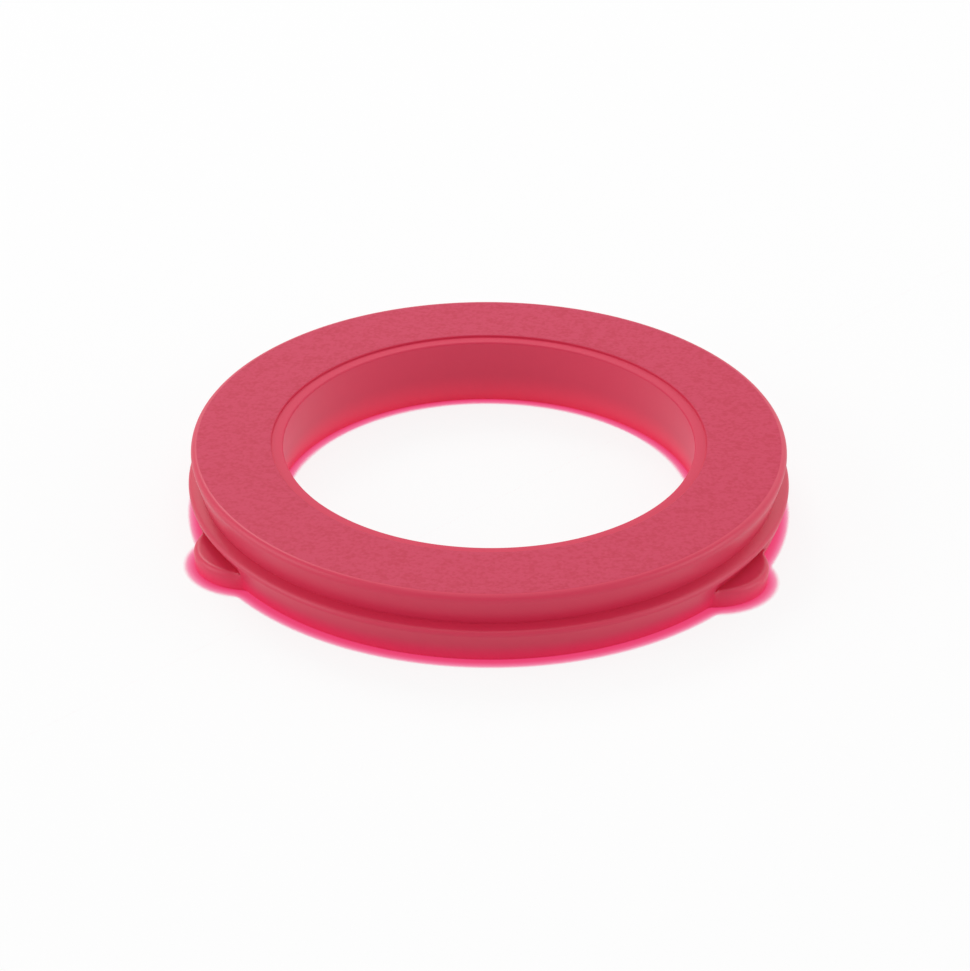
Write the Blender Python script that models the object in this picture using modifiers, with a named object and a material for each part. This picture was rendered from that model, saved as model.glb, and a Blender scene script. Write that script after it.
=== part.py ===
"""Hose washer: one moulded rubber ring with three snap-in lugs, for a 3/4 inch garden-hose coupling.

The ring has a flat sealing face, a shallow recess round its bore, a rim that leans in to a groove,
and a flange whose top slopes down from the groove and whose wall leans in again to the base. The
lugs stand low on the flange wall, a third of a turn apart, and hold the washer in the coupling.

Metres, +Z up. The origin is on the bore's axis, at the base that the washer lies on.
"""

import math

import bmesh
import bpy
from mathutils import Matrix, Vector

MM = 0.001

# Ring, radial sizes from the bore outwards, which make the rounded flange 25.4 mm across
BORE_DIAMETER = 17.30 * MM
RECESS_WIDTH = 0.51 * MM
FACE_WIDTH = 3.477 * MM
GROOVE_DEPTH = 0.44 * MM
FLANGE_REACH = 0.55 * MM
FLANGE_WALL_LEAN = 0.53 * MM
BORE_DRAFT = 0.32 * MM

# Ring, heights
THICKNESS = 3.175 * MM
RIM_HEIGHT = 1.455 * MM
LEDGE_FALL = 0.17 * MM
RECESS_DEPTH = 0.10 * MM

# Ring, radii of its rounded edges
RIM_ROUNDING = 0.28 * MM
GROOVE_FILLET = 0.04 * MM
FLANGE_ROUNDING = 0.20 * MM
BASE_ROUNDING = 0.10 * MM
BORE_ROUNDING = 0.08 * MM
RECESS_ROUNDING = 0.04 * MM

# Lugs: how far they stand out past the flange, end below its edge and start above the base
LUG_COUNT = 3
FIRST_LUG_ANGLE = math.radians(-33.3)
LUG_REACH = 0.60 * MM
LUG_DROP = 0.70 * MM
LUG_LIFT = 0.05 * MM
LUG_RADIUS = 2.25 * MM
LUG_ROUNDING = 0.24 * MM

# Faces round a full turn, and along one rounded edge
RING_STEPS = 120
LUG_STEPS = 48
ROUNDING_STEPS = 2
LUG_ROUNDING_STEPS = 4

PINK_RUBBER = (0.62, 0.066, 0.118, 1.0)
RUBBER_ROUGHNESS = 0.55

bore_radius = BORE_DIAMETER / 2
bore_base_radius = bore_radius + BORE_DRAFT
recess_radius = bore_radius + RECESS_WIDTH
rim_radius = recess_radius + FACE_WIDTH
groove_radius = rim_radius - GROOVE_DEPTH
flange_radius = groove_radius + FLANGE_REACH
base_radius = flange_radius - FLANGE_WALL_LEAN
recess_height = THICKNESS - RECESS_DEPTH
groove_height = THICKNESS - RIM_HEIGHT
flange_height = groove_height - LEDGE_FALL
wall_middle_radius = (bore_base_radius + base_radius) / 2
lug_height = flange_height - LUG_DROP - LUG_LIFT
lug_centre_radius = flange_radius + LUG_REACH - LUG_RADIUS


def clear_scene():
    for old in list(bpy.data.objects):
        bpy.data.objects.remove(old, do_unlink=True)


def new_collection(name):
    collection = bpy.data.collections.new(name)
    bpy.context.scene.collection.children.link(collection)
    return collection


def rubber_material():
    material = bpy.data.materials.new("pink_rubber")
    material.diffuse_color = PINK_RUBBER
    material.use_nodes = True
    shader = material.node_tree.nodes["Principled BSDF"]
    shader.inputs["Base Color"].default_value = PINK_RUBBER
    shader.inputs["Roughness"].default_value = RUBBER_ROUGHNESS
    shader.inputs["Metallic"].default_value = 0.0
    return material


def rounded_corner(before, corner, after, rounding):
    """Points of the arc that rounds one corner of a section, held to half of either side."""
    back, ahead = before - corner, after - corner
    half_angle = back.angle(ahead) / 2
    tangent = min(rounding / math.tan(half_angle), back.length / 2, ahead.length / 2)
    radius = tangent * math.tan(half_angle)
    bisector = (back.normalized() + ahead.normalized()).normalized()
    centre = corner + bisector * tangent / math.cos(half_angle)
    first_spoke = (corner + back.normalized() * tangent - centre).normalized()
    last_spoke = (corner + ahead.normalized() * tangent - centre).normalized()
    shares = [step / ROUNDING_STEPS for step in range(ROUNDING_STEPS + 1)]
    return [centre + first_spoke.slerp(last_spoke, share) * radius for share in shares]


def ring_section():
    """The ring's section as (radius, height) points, down its outer side and up through its bore."""
    corners = [
        (rim_radius, THICKNESS, RIM_ROUNDING),
        (groove_radius, groove_height, GROOVE_FILLET),
        (flange_radius, flange_height, FLANGE_ROUNDING),
        (base_radius, 0, BASE_ROUNDING),
        (bore_base_radius, 0, BASE_ROUNDING),
        (bore_radius, recess_height, BORE_ROUNDING),
        (recess_radius, recess_height, RECESS_ROUNDING),
        (recess_radius, THICKNESS, RECESS_ROUNDING),
    ]
    points = []
    for index, (radius, height, rounding) in enumerate(corners):
        before = Vector(corners[index - 1][:2])
        after = Vector(corners[(index + 1) % len(corners)][:2])
        points += rounded_corner(before, Vector((radius, height)), after, rounding)
    return points


def turned_ring(collection, material):
    section = bmesh.new()
    verts = [section.verts.new((radius, 0, height)) for radius, height in ring_section()]
    for index, vert in enumerate(verts):
        section.edges.new((verts[index - 1], vert))
    mesh = bpy.data.meshes.new("hose_washer")
    section.to_mesh(mesh)
    section.free()
    mesh.materials.append(material)
    ring = bpy.data.objects.new("hose_washer", mesh)
    collection.objects.link(ring)
    turn = ring.modifiers.new("Turned ring", "SCREW")
    turn.angle = math.tau
    turn.steps = turn.render_steps = RING_STEPS
    turn.use_smooth_shade = True
    turn.use_merge_vertices = True
    turn.merge_threshold = 0.01 * MM
    return ring


def lug_mesh(material):
    """A low disc with a well-rounded top edge, cut off inside the ring's wall."""
    disc = bmesh.new()
    bmesh.ops.create_cone(
        disc,
        cap_ends=True,
        segments=LUG_STEPS,
        radius1=LUG_RADIUS,
        radius2=LUG_RADIUS,
        depth=lug_height,
        matrix=Matrix.Translation((0, 0, LUG_LIFT + lug_height / 2)),
    )
    middle_height = LUG_LIFT + lug_height / 2
    top_edge = [edge for edge in disc.edges if min(v.co.z for v in edge.verts) > middle_height]
    bmesh.ops.bevel(
        disc,
        geom=top_edge,
        affect="EDGES",
        offset=min(LUG_ROUNDING, lug_height / 2),
        segments=LUG_ROUNDING_STEPS,
        profile=0.5,
        material=-1,
    )
    bmesh.ops.translate(disc, vec=(lug_centre_radius, 0, 0), verts=disc.verts)
    cut = bmesh.ops.bisect_plane(
        disc,
        geom=disc.verts[:] + disc.edges[:] + disc.faces[:],
        plane_co=(wall_middle_radius, 0, 0),
        plane_no=(-1, 0, 0),
        clear_outer=True,
    )
    cut_edges = [item for item in cut["geom_cut"] if isinstance(item, bmesh.types.BMEdge)]
    bmesh.ops.contextual_create(disc, geom=cut_edges)
    bmesh.ops.recalc_face_normals(disc, faces=disc.faces)
    mesh = bpy.data.meshes.new("lug")
    disc.to_mesh(mesh)
    disc.free()
    mesh.materials.append(material)
    mesh.shade_smooth()
    return mesh


def join_lugs(ring, helpers, material):
    """Unites the lugs with the ring, each by its own Boolean, as the mould makes them in one piece."""
    mesh = lug_mesh(material)
    for number in range(LUG_COUNT):
        lug = bpy.data.objects.new(f"lug_{number + 1}", mesh)
        lug.rotation_euler.z = FIRST_LUG_ANGLE + math.tau * number / LUG_COUNT
        lug.hide_render = True
        lug.display_type = "WIRE"
        helpers.objects.link(lug)
        union = ring.modifiers.new(f"Lug {number + 1}", "BOOLEAN")
        union.operation = "UNION"
        union.solver = "EXACT"
        union.object = lug


def main():
    clear_scene()
    material = rubber_material()
    ring = turned_ring(new_collection("hose_washer"), material)
    join_lugs(ring, new_collection("lug_helpers"), material)
    shading = ring.modifiers.new("Even shading", "WEIGHTED_NORMAL")
    shading.keep_sharp = True


main()
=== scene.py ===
"""Hose washer: a moulded rubber sealing ring with a grooved rim, a flange and snap-in lugs.

Laid out as a Blender add-on and run as a script. The ring's section is turned, its lugs are raised
from the flange wall, and a fine-grained rubber material finishes it. Everything is in metres.
"""

import math

import bmesh
import bpy
from mathutils import Matrix, Vector


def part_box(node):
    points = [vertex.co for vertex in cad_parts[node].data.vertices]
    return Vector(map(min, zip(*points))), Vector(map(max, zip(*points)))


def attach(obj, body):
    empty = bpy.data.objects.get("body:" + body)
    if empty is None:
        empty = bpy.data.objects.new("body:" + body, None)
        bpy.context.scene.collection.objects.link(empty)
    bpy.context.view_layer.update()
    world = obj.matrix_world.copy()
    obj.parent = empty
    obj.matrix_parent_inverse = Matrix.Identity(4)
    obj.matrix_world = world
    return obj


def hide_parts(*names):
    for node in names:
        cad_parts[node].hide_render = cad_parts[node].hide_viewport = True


bl_info = {
    "name": "Hose Washer",
    "version": (1, 0, 0),
    "blender": (4, 5, 0),
    "location": "View3D > Sidebar > Hose Washer",
    "description": "Models a moulded rubber hose washer and the pale studio it lies in",
    "category": "Add Mesh",
}

MM = 0.001
NODE = "hose_washer"

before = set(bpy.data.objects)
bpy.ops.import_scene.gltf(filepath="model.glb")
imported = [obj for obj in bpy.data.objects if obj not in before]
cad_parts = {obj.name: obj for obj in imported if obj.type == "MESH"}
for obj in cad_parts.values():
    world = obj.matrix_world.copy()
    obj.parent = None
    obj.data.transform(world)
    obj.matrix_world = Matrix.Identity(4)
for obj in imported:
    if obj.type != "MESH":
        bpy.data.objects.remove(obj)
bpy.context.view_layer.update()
cad_low, cad_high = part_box(NODE)


def length(name, default_mm, description):
    """A size that a user would change, given in millimetres and kept in metres."""
    return bpy.props.FloatProperty(
        name=name,
        description=description,
        default=default_mm * MM,
        min=0.0,
        precision=5,
        unit="LENGTH",
    )


def factor(name, default, description):
    """A strength or a share, from 0 to 1."""
    return bpy.props.FloatProperty(
        name=name,
        description=description,
        default=default,
        min=0.0,
        max=1.0,
        subtype="FACTOR",
    )


def power(name, default, description):
    """A lamp's power in watts."""
    return bpy.props.FloatProperty(
        name=name,
        description=description,
        default=default,
        min=0.0,
        precision=3,
        unit="POWER",
    )


def colour(name, default, description):
    return bpy.props.FloatVectorProperty(
        name=name,
        description=description,
        default=default,
        size=3,
        min=0.0,
        max=1.0,
        subtype="COLOR",
    )


class RingSizes(bpy.types.PropertyGroup):
    thickness: length("Thickness", (cad_high.z - cad_low.z) / MM, "Base to sealing face")
    flange_diameter: length("Flange", (cad_high.x - cad_low.x) / MM, "Across the rounded flange")
    bore_diameter: length("Bore", 17.30, "Bore at its mouth")
    bore_draft: length("Bore draft", 0.32, "How much wider the bore's radius is at the base")
    recess_width: length("Recess width", 0.51, "Shallow ledge round the bore")
    recess_depth: length("Recess depth", 0.10, "How far the ledge lies below the sealing face")
    groove_depth: length("Groove depth", 0.44, "How far the rim leans in to the groove")
    rim_height: length("Rim height", 1.455, "Sealing face to the groove")
    flange_reach: length("Flange reach", 0.55, "How far the flange stands out from the groove")
    ledge_fall: length("Ledge fall", 0.17, "How far the flange's top slopes down outwards")
    wall_lean: length("Wall lean", 0.53, "How far the flange wall leans in to the base")
    rim_rounding: length("Rim rounding", 0.28, "Radius of the sealing face's outer edge")
    flange_rounding: length("Flange rounding", 0.20, "Radius of the flange's edge")
    base_rounding: length("Base rounding", 0.10, "Radius of the base's two edges")
    bore_rounding: length("Bore rounding", 0.08, "Radius of the bore's mouth")
    recess_rounding: length("Recess rounding", 0.04, "Radius of the ledge's step")


class LugSizes(bpy.types.PropertyGroup):
    count: bpy.props.IntProperty(
        name="Lugs",
        description="Lugs round the ring",
        default=3,
        min=1,
        max=12,
    )
    first_angle: bpy.props.FloatProperty(
        name="First lug",
        description="Where the first lug points, from +X",
        default=math.radians(-33.3),
        subtype="ANGLE",
    )
    radius: length("Lug radius", 2.25, "Radius of a lug's top seen from above")
    reach: length("Lug reach", 0.61, "How far a lug stands out past the flange's corner")
    draft: length("Lug draft", 0.06, "How much narrower a lug is at its foot")
    drop: length("Lug drop", 0.70, "How far a lug's top lies below the flange's edge")
    rounding: length("Lug rounding", 0.24, "Radius of a lug's top edge")
    pocket: length("Pocket depth", 0.15, "How far the wall above a lug is let in")
    softness: length("Lug softness", 0.03, "How softly a lug's edges run into one another")
    fillet: length("Lug fillet", 0.14, "Width of the soft blend between a lug and the wall")


class RubberFinish(bpy.types.PropertyGroup):
    body: colour("Rubber", (0.65, 0.026, 0.079), "Colour of the rubber's smooth walls")
    # Foot is painted bounce light: the walls turn a lighter red near the base in place of light
    # from the white table, not a redder rubber
    foot: colour("Foot", (0.90, 0.026, 0.112), "Warmer red of the outer walls near the base")
    # Bore is painted light: the same rubber as the walls, made lighter to lift the shade inside the
    # bore
    bore: colour("Bore", (0.70, 0.034, 0.098), "Colour of the bore's wall")
    # Bore foot is painted bounce light, a still lighter red near the bore's base
    bore_painted_bounce: colour("Bore foot", (0.97, 0.045, 0.122), "Warmer red of the bore near the base")
    pale: colour("Grain", (0.580, 0.023, 0.080), "Colour of the grained sealing face")
    speck: colour("Speck", (0.525, 0.008, 0.051), "Deeper colour between the grains")
    # How high the painted bounce light on the outer walls reaches
    painted_bounce_height: length("Foot height", 1.00, "How far up the outside the warmer red fades out")
    # How high the painted bounce light in the bore reaches
    bore_painted_bounce_height: length("Bore height", 1.50, "How far up the bore the warmer red fades out")
    roughness: factor("Roughness", 0.40, "Roughness of the smooth walls")
    face_roughness: factor("Face roughness", 0.60, "Roughness of the sealing face and the ledge")
    gloss: factor("Gloss", 0.46, "Strength of the rubber's reflections")
    grain_size: length("Grain size", 0.17, "Size of the moulded grain")
    grain_height: length("Grain height", 0.012, "Height of the moulded grain")


class StudioSettings(bpy.types.PropertyGroup):
    floor: colour("Floor", (0.95, 0.95, 0.95), "Colour of the table")
    paleness: factor("Paleness", 0.84, "Share of the table that shows as plain white")
    glow: colour("Glow", (0.86, 0.040, 0.165), "Pink light that the rubber throws on the table")
    glow_edge: colour("Glow edge", (0.92, 0.16, 0.35), "Paler pink where that light fades")
    glow_width: length("Glow width", 0.55, "How far the pink light reaches")
    sky: factor("Sky", 0.47, "Strength of the even light from all round")
    back_left_power: power("Back left lamp", 0.17, "Power of the small lamp behind on the left")
    back_right_power: power("Back right lamp", 0.12, "Power of the wide lamp behind on the right")
    side_power: power("Side lamps", 0.27, "Power of each low lamp at the sides")
    top_power: power("Top lamp", 0.19, "Power of the wide lamp overhead")


# Steps round a rounded corner, round the ring, up the flange wall and along a lug's outline
CURVE_STEPS = 7
RING_STEPS = 480
WALL_ROWS = 72
PATH_STEPS = 240
SOFTENING_PASSES = 2

# The section's longest edge, the spacing across a lug's top, and the gap that is welded shut
LONGEST_EDGE = 0.27 * MM
TOP_SPACING = LONGEST_EDGE / 50
WELD = 0.001 * MM

# The most of either side that a corner's rounding takes up, and the sharpest edge shaded smooth
LARGEST_SHARE = 0.49
SHARPEST_SMOOTH = math.radians(38)

# How far a lug and its blend reach to either side of its middle
LUG_SPAN = math.radians(17.6)

CENTRE = (0.0, 0.0, 0.0)
UPWARDS = (0.0, 0.0, 1.0)


def ring_corners(ring):
    """The section's corners as (radius, height, rounding), down the outer side and up the bore."""
    flange_height = ring.thickness - ring.rim_height - ring.ledge_fall
    to_groove = Vector((-ring.flange_reach, ring.ledge_fall))
    to_base = Vector((-ring.wall_lean, -flange_height))
    # The flange's corner is a sharp one, which its rounding cuts back to the flange's true width.
    inwards = (to_groove.normalized() + to_base.normalized()).normalized()
    to_centre = ring.flange_rounding / math.sin(to_groove.angle(to_base) / 2)
    flange = ring.flange_diameter / 2 - ring.flange_rounding - inwards.x * to_centre
    groove = flange - ring.flange_reach
    bore = ring.bore_diameter / 2
    recess = bore + ring.recess_width
    recess_height = ring.thickness - ring.recess_depth
    return [
        (groove + ring.groove_depth, ring.thickness, ring.rim_rounding),
        (groove, ring.thickness - ring.rim_height, 0.0),
        (flange, flange_height, ring.flange_rounding),
        (flange - ring.wall_lean, 0.0, ring.base_rounding),
        (bore + ring.bore_draft, 0.0, ring.base_rounding),
        (bore, recess_height, ring.bore_rounding),
        (recess, recess_height, 0.0),
        (recess, ring.thickness, ring.recess_rounding),
    ]


def draw_section(mesh, ring):
    """Draws the section as a flat outline in the XZ plane, with its corners rounded."""
    corners = ring_corners(ring)
    verts = [mesh.verts.new((radius, 0.0, height)) for radius, height, _ in corners]
    mesh.faces.new(verts)
    tangents = []
    for index, vert in enumerate(verts):
        back = verts[index - 1].co - vert.co
        ahead = verts[(index + 1) % len(verts)].co - vert.co
        tangent = corners[index][2] / math.tan(back.angle(ahead) / 2)
        shorter = min(back.length, ahead.length)
        tangents.append(min(tangent, shorter * LARGEST_SHARE))
    for vert, tangent in zip(verts, tangents):
        if tangent < WELD:
            continue
        bmesh.ops.bevel(
            mesh,
            geom=[vert],
            affect="VERTICES",
            offset=tangent,
            offset_type="OFFSET",
            segments=CURVE_STEPS,
            profile=0.5,
            material=-1,
        )


def find_flange_wall(mesh, ring):
    """The straight edge of the section that leans in from the flange to the base."""
    middle = (ring.bore_diameter + ring.flange_diameter) / 4
    half_height = (ring.thickness - ring.rim_height - ring.ledge_fall) / 2
    for edge in mesh.edges:
        radii = [vert.co.x for vert in edge.verts]
        heights = [vert.co.z for vert in edge.verts]
        if min(radii) > middle and min(heights) < half_height < max(heights):
            return edge
    raise ValueError("These sizes leave no straight flange wall")


def divide_section(mesh, wall):
    """Divides the long edges, and the flange wall into fine rows for the lugs to rise from."""
    ends = sorted((vert.co.copy() for vert in wall.verts), key=lambda place: place.z)
    for edge in list(mesh.edges):
        cuts = WALL_ROWS if edge == wall else math.ceil(edge.calc_length() / LONGEST_EDGE) - 1
        if cuts > 0:
            bmesh.ops.subdivide_edges(mesh, edges=[edge], cuts=cuts)
    return ends


def turn_section(mesh, share):
    """Turns the section through one lug's share of the ring, with the lug's place in its middle."""
    bmesh.ops.delete(mesh, geom=mesh.faces[:], context="FACES_ONLY")
    half_back = Matrix.Rotation(-share / 2, 3, "Z")
    bmesh.ops.rotate(mesh, verts=mesh.verts[:], cent=CENTRE, matrix=half_back)
    bmesh.ops.spin(
        mesh,
        geom=mesh.verts[:] + mesh.edges[:],
        cent=CENTRE,
        axis=UPWARDS,
        angle=share,
        steps=round(RING_STEPS * share / math.tau),
        use_merge=False,
        use_duplicate=False,
    )


def repeat_round(mesh, share, copies, first_angle):
    """Sets copies of one share side by side round the ring and welds their edges."""
    to_first = Matrix.Rotation(first_angle, 3, "Z")
    bmesh.ops.rotate(mesh, verts=mesh.verts[:], cent=CENTRE, matrix=to_first)
    if copies > 1:
        bmesh.ops.spin(
            mesh,
            geom=mesh.verts[:] + mesh.edges[:] + mesh.faces[:],
            cent=CENTRE,
            axis=UPWARDS,
            angle=share * (copies - 1),
            steps=copies - 1,
            use_merge=False,
            use_duplicate=True,
        )
    bmesh.ops.remove_doubles(mesh, verts=mesh.verts[:], dist=WELD)
    bmesh.ops.recalc_face_normals(mesh, faces=mesh.faces[:])


def smooth_maximum(first, second, width):
    """The larger of two values, blended where they come within a width of each other."""
    near = max(width - abs(first - second), 0.0) / width
    return max(first, second) + near * near * width / 4


def lug_outline(off_lug, centre, radius):
    """How far a round lug reaches from the ring's axis, at an angle from its middle."""
    across = centre * math.sin(off_lug)
    if abs(across) >= radius or abs(off_lug) > math.pi / 4:
        return 0.0
    return centre * math.cos(off_lug) + math.sqrt(radius * radius - across * across)


def lug_and_wall(bearing, centre, top, ends, lugs):
    """The lug's section up to where its top meets the wall, and the pocket's section above it."""
    low, high = ends
    below = []
    for step in range(PATH_STEPS + 1):
        height = low.z + (top - low.z) * step / PATH_STEPS
        radius = low.x + (high.x - low.x) * (height - low.z) / (high.z - low.z)
        outline = lug_outline(bearing, centre, lugs.radius - lugs.draft * (top - height) / top)
        into = min(max(height - top + lugs.rounding, 0.0), lugs.rounding)
        rounded = outline - lugs.rounding + math.sqrt(lugs.rounding ** 2 - into ** 2)
        if rounded > radius - lugs.fillet:
            radius = smooth_maximum(radius, rounded, lugs.fillet)
        below.append(Vector((radius, height)))
    wall = low.x + (high.x - low.x) * (top - low.z) / (high.z - low.z)
    outline = lug_outline(bearing, centre, lugs.radius)
    inwards = lugs.pocket * min(max(1.0 + (outline - wall) / lugs.rounding, 0.0), 1.0)
    corner = Vector((wall - inwards, top))
    across = below[-1].x - corner.x
    flat_steps = int(across / TOP_SPACING)
    for step in range(1, flat_steps):
        below.append(below[-1].lerp(corner, 1 / (flat_steps - step + 1)))
    if across > WELD:
        below.append(corner)
    else:
        below[-1] = corner
    edge = Vector((high.x, high.z))
    if inwards < WELD:
        return below, [corner, edge]
    return below, [corner, Vector((high.x - inwards, high.z)), edge]


def walk(points, count):
    """Points at equal steps along a path, its ends kept."""
    lengths = [(after - before).length for before, after in zip(points, points[1:])]
    total = sum(lengths)
    placed = [points[0]]
    index, passed = 0, 0.0
    for step in range(1, count - 1):
        goal = total * step / (count - 1)
        while passed + lengths[index] < goal:
            passed += lengths[index]
            index += 1
        share = (goal - passed) / lengths[index]
        placed.append(points[index].lerp(points[index + 1], share))
    placed.append(points[-1])
    return placed


def soften(points, reach):
    """Rounds a path's corners, by averaging each point with its neighbours within a reach."""
    count = len(points)
    softened = []
    for index in range(count):
        near = min(reach, index, count - 1 - index)
        around = points[index - near:index + near + 1]
        softened.append(sum(around, Vector((0.0, 0.0))) / len(around))
    return softened


def raise_lug(mesh, ring, lugs, ends):
    """Moves the flange wall outwards to a round lug on +X, with a flat top and soft edges."""
    flange = max(radius for radius, _, _ in ring_corners(ring))
    middle = (ring.bore_diameter / 2 + flange) / 2
    top = ring.thickness - ring.rim_height - ring.ledge_fall - lugs.drop
    centre = flange + lugs.reach - lugs.radius
    columns = {}
    for vert in mesh.verts:
        bearing = math.atan2(vert.co.y, vert.co.x)
        radius = math.hypot(vert.co.x, vert.co.y)
        if radius > middle and abs(bearing) < LUG_SPAN and vert.co.z < ends[1].z + WELD:
            columns.setdefault(round(bearing * RING_STEPS / math.tau), []).append((radius, vert))
    for column in columns.values():
        wall = [vert for _, vert in column if vert.co.z > ends[0].z - WELD]
        wall.sort(key=lambda vert: vert.co.z)
        bearing = math.atan2(wall[0].co.y, wall[0].co.x)
        below, above = lug_and_wall(bearing, centre, top, ends, lugs)
        below = walk(below, PATH_STEPS)
        spacing = (below[1] - below[0]).length
        for _ in range(SOFTENING_PASSES):
            below = soften(below, round(lugs.softness / spacing))
        rows_below = round(len(wall) * (top - ends[0].z) / (ends[1].z - ends[0].z))
        path = walk(below, rows_below) + walk(above, len(wall) - rows_below + 1)[1:]
        for vert, place in zip(wall, path):
            vert.co = (place.x * math.cos(bearing), place.x * math.sin(bearing), place.y)
        moved = path[0].x - ends[0].x
        for radius, vert in column:
            if vert in wall:
                continue
            share = min(max((radius - middle) / (ends[0].x - middle), 0.0), 1.0)
            scale = (radius + moved * share * share) / radius
            vert.co.x *= scale
            vert.co.y *= scale


class HOSEWASHER_OT_moulding(bpy.types.Operator):
    """Models the washer as one moulding and gives it its rubber finish"""

    bl_idname = "hose_washer.moulding"
    bl_label = "Moulding"

    def execute(self, context):
        ring = context.scene.washer_ring
        lugs = context.scene.washer_lugs
        shape = bmesh.new()
        draw_section(shape, ring)
        wall_ends = divide_section(shape, find_flange_wall(shape, ring))
        share = math.tau / lugs.count
        turn_section(shape, share)
        raise_lug(shape, ring, lugs, wall_ends)
        repeat_round(shape, share, lugs.count, lugs.first_angle)
        mesh = bpy.data.meshes.new("washer_moulding")
        shape.to_mesh(mesh)
        shape.free()
        mesh.shade_smooth()
        mesh.set_sharp_from_angle(angle=SHARPEST_SMOOTH)
        mesh.materials.append(rubber_material(context.scene.washer_finish, ring))
        washer = bpy.data.objects.new("washer_moulding", mesh)
        context.scene.collection.objects.link(washer)
        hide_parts(NODE)
        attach(washer, "root")
        return {"FINISHED"}


# Where the face's grain and the ledge's colour fade in, as depths below the face and the ledge
GRAIN_FADE = (0.008 * MM, 0.002 * MM)
LEDGE_FADE = (0.10 * MM, 0.04 * MM)

# The mask that the rubber and the table share, and the width of its soft edge
BORE_MASK = "Bore mask"
BORE_FADE = 0.10 * MM

# How much broader the broad grain is, the fine grain's share, and where specks turn pale
BROAD_GRAIN = 3
FINE_SHARE = 0.6
GRAIN_TONES = (0.33, 0.60)

WHITE = (1.0, 1.0, 1.0)


def socket(tree, name, direction):
    tree.interface.new_socket(name=name, in_out=direction, socket_type="NodeSocketFloat")


def new_group(name):
    tree = bpy.data.node_groups.new(name, "ShaderNodeTree")
    return tree, tree.nodes.new("NodeGroupInput"), tree.nodes.new("NodeGroupOutput")


def smooth_step(tree, value, low, high):
    """A soft step from 0 at the low value to 1 at the high one."""
    step = tree.nodes.new("ShaderNodeMapRange")
    step.interpolation_type = "SMOOTHSTEP"
    tree.links.new(value, step.inputs["Value"])
    step.inputs["From Min"].default_value = low
    step.inputs["From Max"].default_value = high
    return step.outputs["Result"]


def calculate(tree, operation, first, second):
    node = tree.nodes.new("ShaderNodeMath")
    node.operation = operation
    for given, target in zip((first, second), node.inputs):
        if isinstance(given, (int, float)):
            target.default_value = given
        else:
            tree.links.new(given, target)
    return node.outputs["Value"]


def noise(tree, place, size, detail):
    texture = tree.nodes.new("ShaderNodeTexNoise")
    tree.links.new(place, texture.inputs["Vector"])
    texture.inputs["Scale"].default_value = 1 / size
    texture.inputs["Detail"].default_value = detail
    texture.inputs["Roughness"].default_value = 0.5
    return texture.outputs["Fac"]


def mix_colours(tree, share, first, second):
    """A blend of two colours, each given as its values or as a socket."""
    node = tree.nodes.new("ShaderNodeMix")
    node.data_type = "RGBA"
    tree.links.new(share, node.inputs["Factor"])
    for name, given in (("A", first), ("B", second)):
        if isinstance(given, bpy.types.NodeSocket):
            tree.links.new(given, node.inputs[name])
        else:
            node.inputs[name].default_value = (*given, 1.0)
    return node.outputs["Result"]


def height_mask(tree, low, top):
    """Nought up to the low height and one from the top height up."""
    parts = tree.nodes.new("ShaderNodeSeparateXYZ")
    tree.links.new(tree.nodes.new("ShaderNodeTexCoord").outputs["Object"], parts.inputs["Vector"])
    return smooth_step(tree, parts.outputs["Z"], low, top)


def face_mask_group(ring):
    """A mask of the grained sealing face, which leaves out the smooth ledge and all the walls."""
    tree, _, result = new_group("Sealing face mask")
    socket(tree, "Mask", "OUTPUT")
    low, high = (ring.thickness - below for below in GRAIN_FADE)
    tree.links.new(height_mask(tree, low, high), result.inputs["Mask"])
    return tree


def bore_mask_group():
    """A mask of all that lies within a radius of the ring's axis, on the rubber or the table."""
    if BORE_MASK in bpy.data.node_groups:
        return bpy.data.node_groups[BORE_MASK]
    tree, given, result = new_group(BORE_MASK)
    socket(tree, "Radius", "INPUT")
    socket(tree, "Mask", "OUTPUT")
    flat = tree.nodes.new("ShaderNodeVectorMath")
    flat.operation = "MULTIPLY"
    flat.inputs[1].default_value = (1.0, 1.0, 0.0)
    tree.links.new(tree.nodes.new("ShaderNodeTexCoord").outputs["Object"], flat.inputs[0])
    off_axis = tree.nodes.new("ShaderNodeVectorMath")
    off_axis.operation = "LENGTH"
    tree.links.new(flat.outputs["Vector"], off_axis.inputs[0])
    past = calculate(tree, "SUBTRACT", off_axis.outputs["Value"], given.outputs["Radius"])
    outside = smooth_step(tree, past, 0.0, BORE_FADE)
    tree.links.new(calculate(tree, "SUBTRACT", 1.0, outside), result.inputs["Mask"])
    return tree


def bore_mask(tree, ring):
    """A mask of the recess and the bore, and of the table inside them."""
    node = use_group(tree, bore_mask_group())
    node.inputs["Radius"].default_value = ring.bore_diameter / 2 + ring.recess_width
    return node.outputs["Mask"]


def grain_group(finish):
    """The fine matt grain that the mould leaves, as a height and as a tone."""
    tree, _, result = new_group("Moulded grain")
    socket(tree, "Height", "OUTPUT")
    socket(tree, "Tone", "OUTPUT")
    place = tree.nodes.new("ShaderNodeTexCoord").outputs["Object"]
    fine = noise(tree, place, finish.grain_size, detail=1.5)
    broad = noise(tree, place, finish.grain_size * BROAD_GRAIN, detail=2.0)
    tree.links.new(fine, result.inputs["Height"])
    fine_part = calculate(tree, "MULTIPLY", fine, FINE_SHARE)
    broad_part = calculate(tree, "MULTIPLY", broad, 1 - FINE_SHARE)
    tone = calculate(tree, "ADD", fine_part, broad_part)
    tree.links.new(smooth_step(tree, tone, *GRAIN_TONES), result.inputs["Tone"])
    return tree


def use_group(tree, group):
    node = tree.nodes.new("ShaderNodeGroup")
    node.node_tree = group
    return node


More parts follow.
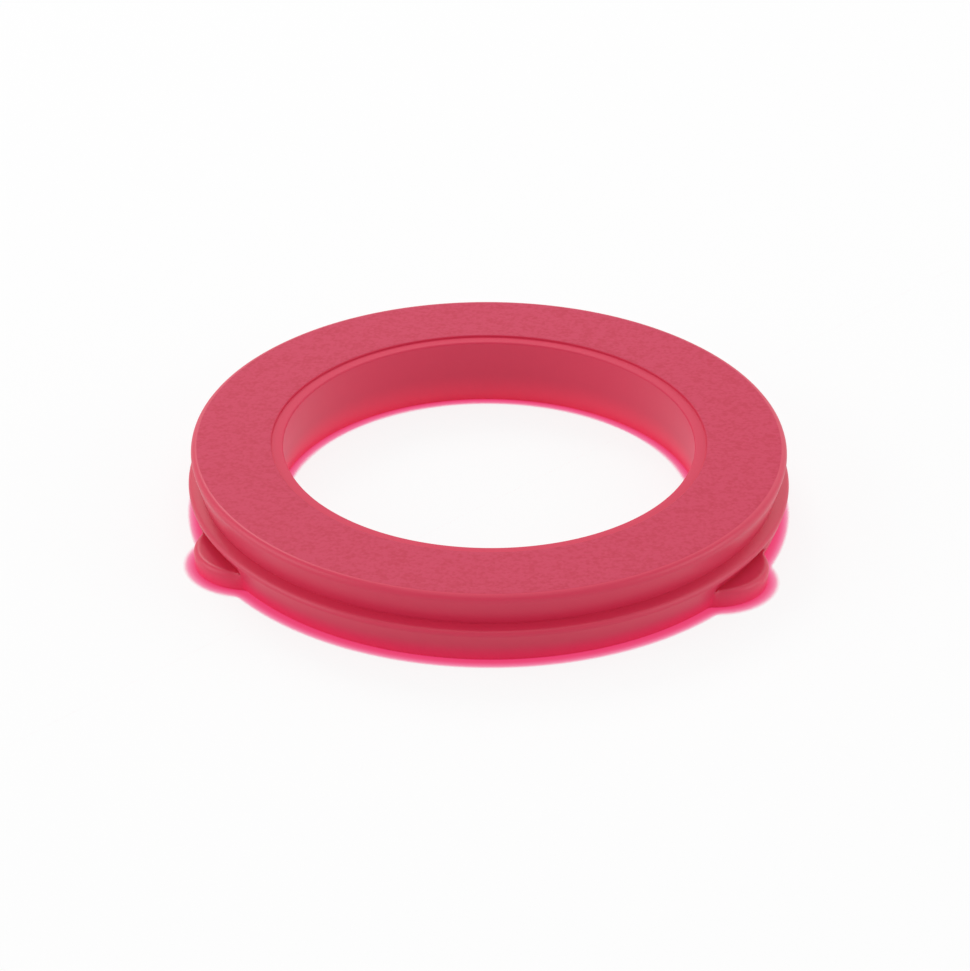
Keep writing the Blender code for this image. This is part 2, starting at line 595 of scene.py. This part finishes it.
def rubber_material(finish, ring):
    material = bpy.data.materials.new("Moulded rubber")
    material.use_nodes = True
    tree = material.node_tree
    shader = tree.nodes["Principled BSDF"]
    on_face = use_group(tree, face_mask_group(ring)).outputs["Mask"]
    grain = use_group(tree, grain_group(finish))
    face = mix_colours(tree, grain.outputs["Tone"], finish.speck, finish.pale)
    inside = bore_mask(tree, ring)
    # Painted bounce light: a lighter red towards the base, on the outer walls and in the bore
    off_painted_bounce = height_mask(tree, 0.0, finish.painted_bounce_height)
    off_bore_painted_bounce = height_mask(tree, 0.0, finish.bore_painted_bounce_height)
    low, high = (ring.thickness - ring.recess_depth - below for below in LEDGE_FADE)
    off_bore_wall = height_mask(tree, low, high)
    outer_wall = mix_colours(tree, off_painted_bounce, finish.foot, finish.body)
    # The bore's lighter red is painted light, and its base is painted bounce light
    bore_wall = mix_colours(tree, off_bore_painted_bounce, finish.bore_painted_bounce, finish.bore)
    bore_and_ledge = mix_colours(tree, off_bore_wall, bore_wall, finish.body)
    smooth = mix_colours(tree, inside, outer_wall, bore_and_ledge)
    tree.links.new(mix_colours(tree, on_face, smooth, face), shader.inputs["Base Color"])
    shader.inputs["Specular IOR Level"].default_value = finish.gloss
    ledge = calculate(tree, "MULTIPLY", inside, off_bore_wall)
    rougher = calculate(tree, "MAXIMUM", on_face, ledge)
    matt = calculate(tree, "MULTIPLY", rougher, finish.face_roughness - finish.roughness)
    tree.links.new(calculate(tree, "ADD", matt, finish.roughness), shader.inputs["Roughness"])
    bump = tree.nodes.new("ShaderNodeBump")
    bump.inputs["Distance"].default_value = finish.grain_height
    grain_on_face = calculate(tree, "MULTIPLY", on_face, grain.outputs["Height"])
    tree.links.new(grain_on_face, bump.inputs["Height"])
    tree.links.new(bump.outputs["Normal"], shader.inputs["Normal"])
    return material


class HOSEWASHER_OT_studio(bpy.types.Operator):
    """Sets the table, the soft lamps, the pale surroundings and the camera"""

    bl_idname = "hose_washer.studio"
    bl_label = "Studio"

    def execute(self, context):
        studio = context.scene.washer_studio
        add_table(context.scene, studio, context.scene.washer_ring)
        add_surroundings(context.scene, studio)
        add_lamps(context.scene, studio)
        add_camera(context.scene)
        return {"FINISHED"}


TABLE_SIZE = 4.0
TABLE_DROP = 0.01 * MM

# How open the table's surface is, from 0 to 1, where its glow turns paler and where it ends
GLOW_PALES = (0.50, 0.86)
GLOW_ENDS = (0.84, 0.985)

# What the bore adds to that openness, which keeps its glow thin, and how much of a glow shows
BORE_OPENNESS = 0.10
GLOW_SHOWN = 0.92


def add_table(scene, studio, ring):
    shape = bmesh.new()
    bmesh.ops.create_grid(shape, x_segments=1, y_segments=1, size=TABLE_SIZE / 2)
    mesh = bpy.data.meshes.new("table")
    shape.to_mesh(mesh)
    shape.free()
    mesh.materials.append(table_material(studio, ring))
    table = bpy.data.objects.new("table", mesh)
    table.location.z = -TABLE_DROP
    scene.collection.objects.link(table)


def direct_view(tree):
    """One for what the camera sees, straight or mirrored, and nought for light on its way."""
    path = tree.nodes.new("ShaderNodeLightPath")
    return calculate(tree, "MAXIMUM", path.outputs["Is Camera Ray"], path.outputs["Is Glossy Ray"])


def table_material(studio, ring):
    """A white table that shows pale to the camera, with a pink glow round the rubber's foot."""
    material = bpy.data.materials.new("White table")
    material.use_nodes = True
    tree = material.node_tree
    nodes, links = tree.nodes, tree.links
    shader = nodes["Principled BSDF"]
    shader.inputs["Roughness"].default_value = 0.9
    shader.inputs["Specular IOR Level"].default_value = 0.2
    shader.inputs["Base Color"].default_value = (*studio.floor, 1.0)
    nearness = nodes.new("ShaderNodeAmbientOcclusion")
    nearness.samples = 8
    nearness.inputs["Distance"].default_value = studio.glow_width
    in_bore = calculate(tree, "MULTIPLY", bore_mask(tree, ring), BORE_OPENNESS)
    openness = calculate(tree, "ADD", nearness.outputs["AO"], in_bore)
    away = smooth_step(tree, openness, *GLOW_ENDS)
    paler = smooth_step(tree, openness, *GLOW_PALES)
    pink = mix_colours(tree, paler, studio.glow, studio.glow_edge)
    seen = nodes.new("ShaderNodeEmission")
    seen.inputs["Strength"].default_value = 1.0
    links.new(mix_colours(tree, away, pink, WHITE), seen.inputs["Color"])
    less_away = calculate(tree, "MULTIPLY", away, GLOW_SHOWN - studio.paleness)
    share = calculate(tree, "SUBTRACT", GLOW_SHOWN, less_away)
    mix = nodes.new("ShaderNodeMixShader")
    links.new(calculate(tree, "MULTIPLY", direct_view(tree), share), mix.inputs["Fac"])
    links.new(shader.outputs["BSDF"], mix.inputs[1])
    links.new(seen.outputs["Emission"], mix.inputs[2])
    links.new(mix.outputs["Shader"], nodes["Material Output"].inputs["Surface"])
    return material


def add_surroundings(scene, studio):
    """Even white light from all round, which the camera and the reflections see as plain white."""
    world = bpy.data.worlds.new("Pale surroundings")
    scene.world = world
    world.use_nodes = True
    nodes, links = world.node_tree.nodes, world.node_tree.links
    even = nodes["Background"]
    even.inputs["Color"].default_value = (*WHITE, 1.0)
    even.inputs["Strength"].default_value = studio.sky
    seen = nodes.new("ShaderNodeBackground")
    seen.inputs["Color"].default_value = (*WHITE, 1.0)
    seen.inputs["Strength"].default_value = 1.0
    mix = nodes.new("ShaderNodeMixShader")
    links.new(direct_view(world.node_tree), mix.inputs["Fac"])
    links.new(even.outputs["Background"], mix.inputs[1])
    links.new(seen.outputs["Background"], mix.inputs[2])
    links.new(mix.outputs["Shader"], nodes["World Output"].inputs["Surface"])


def add_lamps(scene, studio):
    """Soft square lamps, each placed by its bearing, elevation, distance and width."""
    lamps = (
        ("back_left_lamp", studio.back_left_power, 112, 43, 0.30, 0.10),
        ("back_right_lamp", studio.back_right_power, 60, 43, 0.30, 0.24),
        ("left_lamp", studio.side_power, 190, 16, 0.26, 0.22),
        ("right_lamp", studio.side_power, -10, 14, 0.30, 0.22),
        ("top_lamp", studio.top_power, -90, 80, 0.34, 0.30),
    )
    for name, watts, bearing, elevation, distance, width in lamps:
        light = bpy.data.lights.new(name, "AREA")
        light.shape = "SQUARE"
        light.size = width
        light.energy = watts
        lamp = bpy.data.objects.new(name, light)
        around = Matrix.Rotation(math.radians(bearing), 3, "Z")
        upwards = Matrix.Rotation(-math.radians(elevation), 3, "Y")
        lamp.location = around @ upwards @ Vector((distance, 0.0, 0.0))
        lamp.rotation_euler = lamp.location.to_track_quat("Z", "Y").to_euler()
        scene.collection.objects.link(lamp)


CAMERA_PLACE = (0.0, -130.06 * MM, 77.51 * MM)
CAMERA_AIM = (-0.153 * MM, -3.964 * MM, 3.175 * MM)
CAMERA_ROLL = math.radians(0.285)
CAMERA_LENS = 131.9


def add_camera(scene):
    camera = bpy.data.objects.new("camera", bpy.data.cameras.new("camera"))
    scene.collection.objects.link(camera)
    place = Vector(CAMERA_PLACE)
    look = (Vector(CAMERA_AIM) - place).to_track_quat("-Z", "Y").to_matrix().to_4x4()
    roll = Matrix.Rotation(CAMERA_ROLL, 4, "Z")
    camera.matrix_world = Matrix.Translation(place) @ look @ roll
    camera.data.lens = CAMERA_LENS
    camera.data.sensor_fit = "AUTO"
    camera.data.clip_start = 0.001
    camera.data.clip_end = 20.0
    scene.camera = camera
    scene.view_settings.view_transform = "Standard"


class HOSEWASHER_PT_panel(bpy.types.Panel):
    """Lists the washer's steps in the sidebar"""

    bl_label = "Hose Washer"
    bl_idname = "HOSEWASHER_PT_panel"
    bl_space_type = "VIEW_3D"
    bl_region_type = "UI"
    bl_category = "Hose Washer"

    def draw(self, context):
        for step in STEPS:
            self.layout.operator(step.bl_idname)


GROUPS = {
    "washer_ring": RingSizes,
    "washer_lugs": LugSizes,
    "washer_finish": RubberFinish,
    "washer_studio": StudioSettings,
}
STEPS = (HOSEWASHER_OT_moulding, HOSEWASHER_OT_studio)


def register():
    for cls in (*GROUPS.values(), *STEPS, HOSEWASHER_PT_panel):
        bpy.utils.register_class(cls)
    for name, group in GROUPS.items():
        setattr(bpy.types.Scene, name, bpy.props.PointerProperty(type=group))


def unregister():
    for name in GROUPS:
        delattr(bpy.types.Scene, name)
    for cls in reversed((*GROUPS.values(), *STEPS, HOSEWASHER_PT_panel)):
        bpy.utils.unregister_class(cls)


def main():
    register()
    bpy.ops.hose_washer.moulding()
    bpy.ops.hose_washer.studio()


if __name__ == "__main__":
    main()
